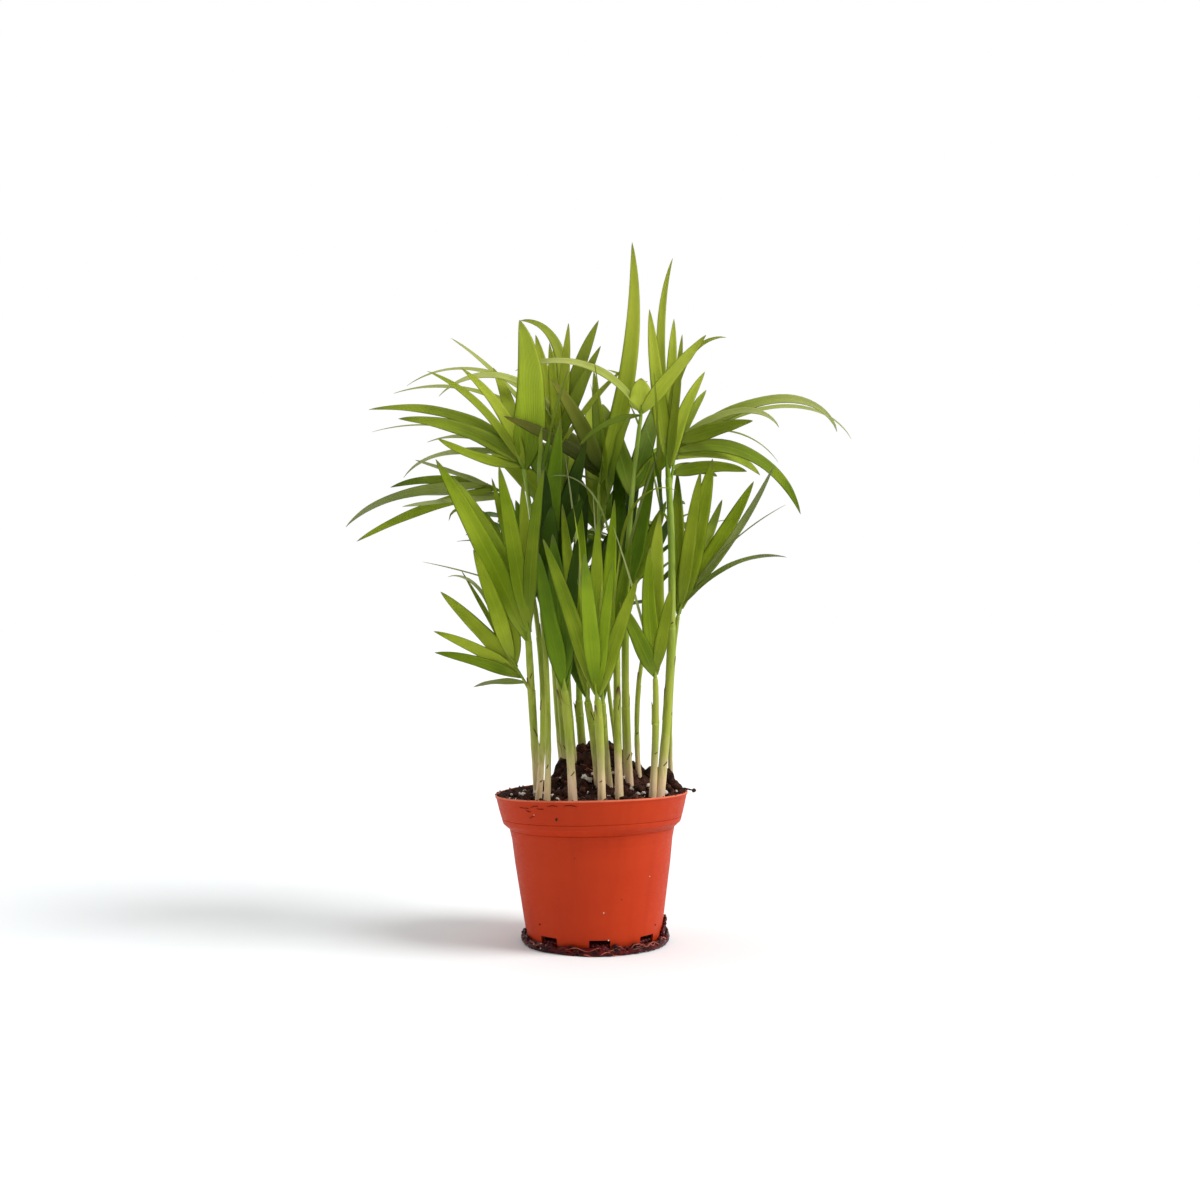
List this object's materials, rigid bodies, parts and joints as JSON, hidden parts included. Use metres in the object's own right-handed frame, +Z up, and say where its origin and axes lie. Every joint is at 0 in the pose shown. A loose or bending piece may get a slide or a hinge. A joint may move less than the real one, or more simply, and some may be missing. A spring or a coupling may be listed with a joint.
{
  "type": "parlour palm",
  "caption": "Young parlour palm: a clump of slim green stems with fan-shaped and feathered fronds, growing in a round tapered nursery pot of soil.",
  "frame": {"origin": "on the flat underside of the mat of roots, below the middle of the pot", "axes": "+Z up along the pot's axis, -Y towards the front, +X to the right as seen from the front"},
  "size_m": [0.3211, 0.236, 0.4321],
  "materials": {
    "pot": "satin",
    "soil": "matte",
    "root_mat": "matte",
    "stem": "satin",
    "frond": "satin"
  },
  "bodies": {
    "root": {"fan_back_left": "frond", "fan_back_middle": "frond", "fan_back_right": "frond", "fan_crest": "frond", "fan_crook": "frond", "fan_front_dark": "frond", "fan_front_left": "frond", "fan_front_left_inner": "frond", "fan_front_middle": "frond", "fan_front_right_inner": "frond", "fan_inner": "frond", "fan_left_dark": "frond", "fan_left_high": "frond", "fan_left_middle": "frond", "fan_low_left": "frond", "fan_middle": "frond", "fan_right": "frond", "fan_right_dark": "frond", "fan_right_high": "frond", "fan_right_middle": "frond", "fan_side_left": "frond", "fan_side_middle": "frond", "fan_side_right": "frond", "fan_top": "frond", "fan_top_left": "frond", "feather_01": "frond", "feather_02": "frond", "feather_03": "frond", "pot": "pot", "root_mat": "root_mat", "soil": "soil", "stem_01": "stem", "stem_02": "stem", "stem_03": "stem", "stem_04": "stem", "stem_05": "stem", "stem_06": "stem", "stem_07": "stem", "stem_08": "stem", "stem_09": "stem", "stem_10": "stem", "stem_11": "stem", "stem_12": "stem", "stem_13": "stem", "stem_14": "stem", "stem_15": "stem", "stem_16": "stem", "stem_17": "stem", "stem_18": "stem"}
  },
  "joints": []
}
